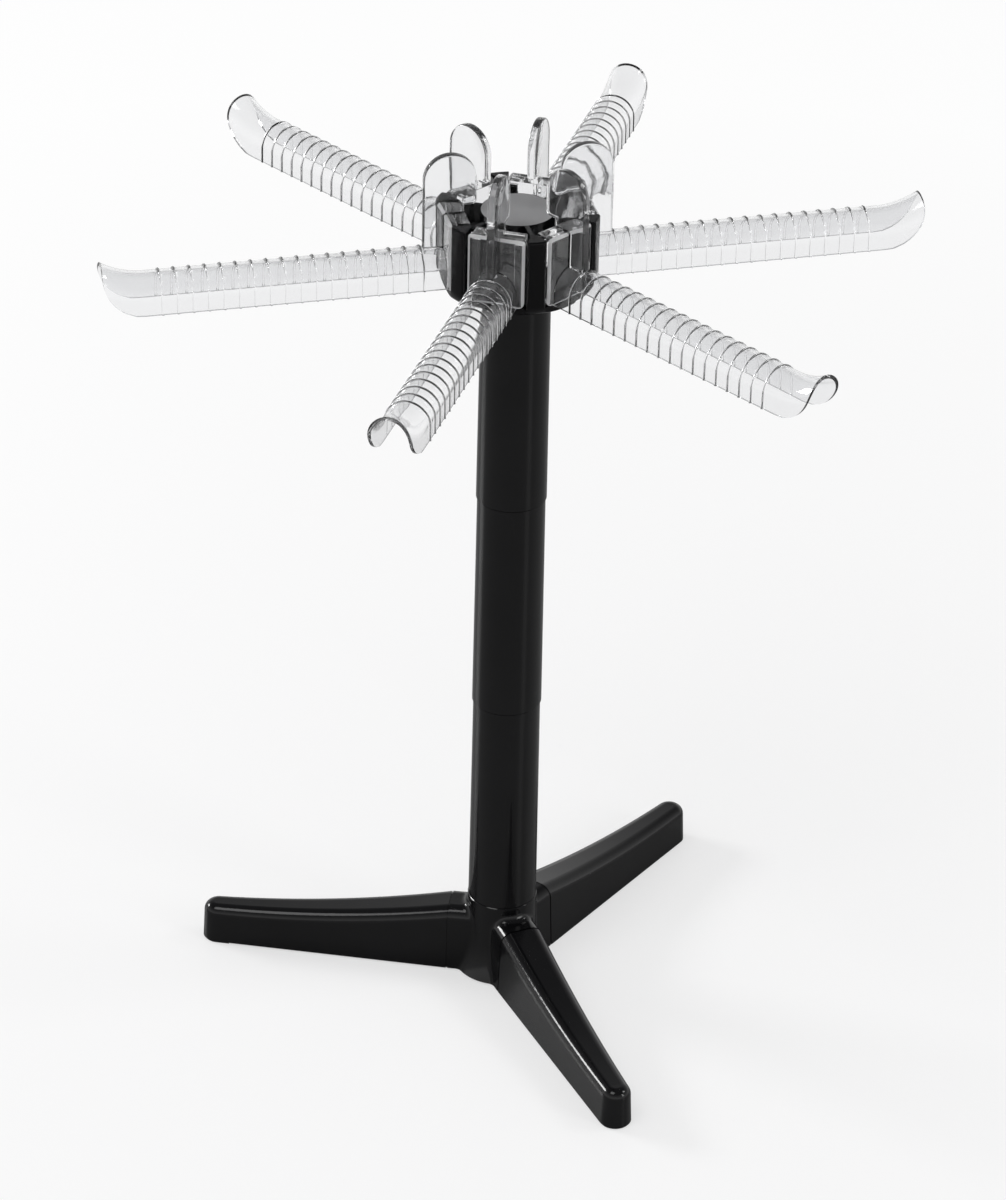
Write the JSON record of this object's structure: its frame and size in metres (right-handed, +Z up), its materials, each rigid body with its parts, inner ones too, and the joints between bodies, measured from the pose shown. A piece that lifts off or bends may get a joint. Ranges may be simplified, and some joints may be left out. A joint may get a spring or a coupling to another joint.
{
  "type": "pasta drying rack",
  "caption": "Free-standing pasta drying rack: a glossy black stand with splayed legs, a sectional pole and clear ribbed arms that plug into a swivelling hub.",
  "frame": {"origin": "on the surface the rack stands on, under the pole's axis", "axes": "+Z up along the pole; one leg points to -X, the other two are 120 degrees either side of it"},
  "size_m": [0.387, 0.4052, 0.4716],
  "materials": {
    "stand_black": "glossy black moulded plastic",
    "hub_black": "glossy black moulded plastic",
    "arm_clear": "clear glossy moulded plastic",
    "pad_rubber": "matt black rubber"
  },
  "bodies": {
    "stand": {"base_hub": "stand_black"},
    "leg_1_with_pad": {"leg_1": "stand_black", "foot_pad_1": "pad_rubber"},
    "leg_2_with_pad": {"leg_2": "stand_black", "foot_pad_2": "pad_rubber"},
    "leg_3_with_pad": {"leg_3": "stand_black", "foot_pad_3": "pad_rubber"},
    "lower_tube": {"pole_lower": "stand_black"},
    "middle_tube": {"pole_middle": "stand_black"},
    "upper_tube": {"pole_upper": "stand_black"},
    "hub": {"arm_hub": "hub_black"},
    "arm_1_body": {"arm_1": "arm_clear"},
    "arm_2_body": {"arm_2": "arm_clear"},
    "arm_3_body": {"arm_3": "arm_clear"},
    "arm_4_body": {"arm_4": "arm_clear"},
    "arm_5_body": {"arm_5": "arm_clear"},
    "arm_6_body": {"arm_6": "arm_clear"}
  },
  "joints": [
    {"name": "leg_1_pull", "type": "slide", "parent": "stand", "child": "leg_1_with_pad", "axis": [-1, 0, 0], "range_m": [0, 0.018]},
    {"name": "leg_2_pull", "type": "slide", "parent": "stand", "child": "leg_2_with_pad", "axis": [0.5, -0.866, 0], "range_m": [0, 0.018]},
    {"name": "leg_3_pull", "type": "slide", "parent": "stand", "child": "leg_3_with_pad", "axis": [0.5, 0.866, 0], "range_m": [0, 0.018]},
    {"name": "lower_tube_lift", "type": "slide", "parent": "stand", "child": "lower_tube", "axis": [0, 0, 1], "range_m": [0, 0.015]},
    {"name": "middle_tube_lift", "type": "slide", "parent": "lower_tube", "child": "middle_tube", "axis": [0, 0, 1], "range_m": [0, 0.015]},
    {"name": "upper_tube_lift", "type": "slide", "parent": "middle_tube", "child": "upper_tube", "axis": [0, 0, 1], "range_m": [0, 0.015]},
    {"name": "hub_swivel", "type": "hinge", "parent": "upper_tube", "child": "hub", "pos_m": [0, 0, 0.3994], "axis": [0, 0, 1], "continuous": true},
    {"name": "arm_1_lift", "type": "slide", "parent": "hub", "child": "arm_1_body", "axis": [0, 0, 1], "range_m": [0, 0.038]},
    {"name": "arm_2_lift", "type": "slide", "parent": "hub", "child": "arm_2_body", "axis": [0, 0, 1], "range_m": [0, 0.038]},
    {"name": "arm_3_lift", "type": "slide", "parent": "hub", "child": "arm_3_body", "axis": [0, 0, 1], "range_m": [0, 0.038]},
    {"name": "arm_4_lift", "type": "slide", "parent": "hub", "child": "arm_4_body", "axis": [0, 0, 1], "range_m": [0, 0.038]},
    {"name": "arm_5_lift", "type": "slide", "parent": "hub", "child": "arm_5_body", "axis": [0, 0, 1], "range_m": [0, 0.038]},
    {"name": "arm_6_lift", "type": "slide", "parent": "hub", "child": "arm_6_body", "axis": [0, 0, 1], "range_m": [0, 0.038]}
  ]
}
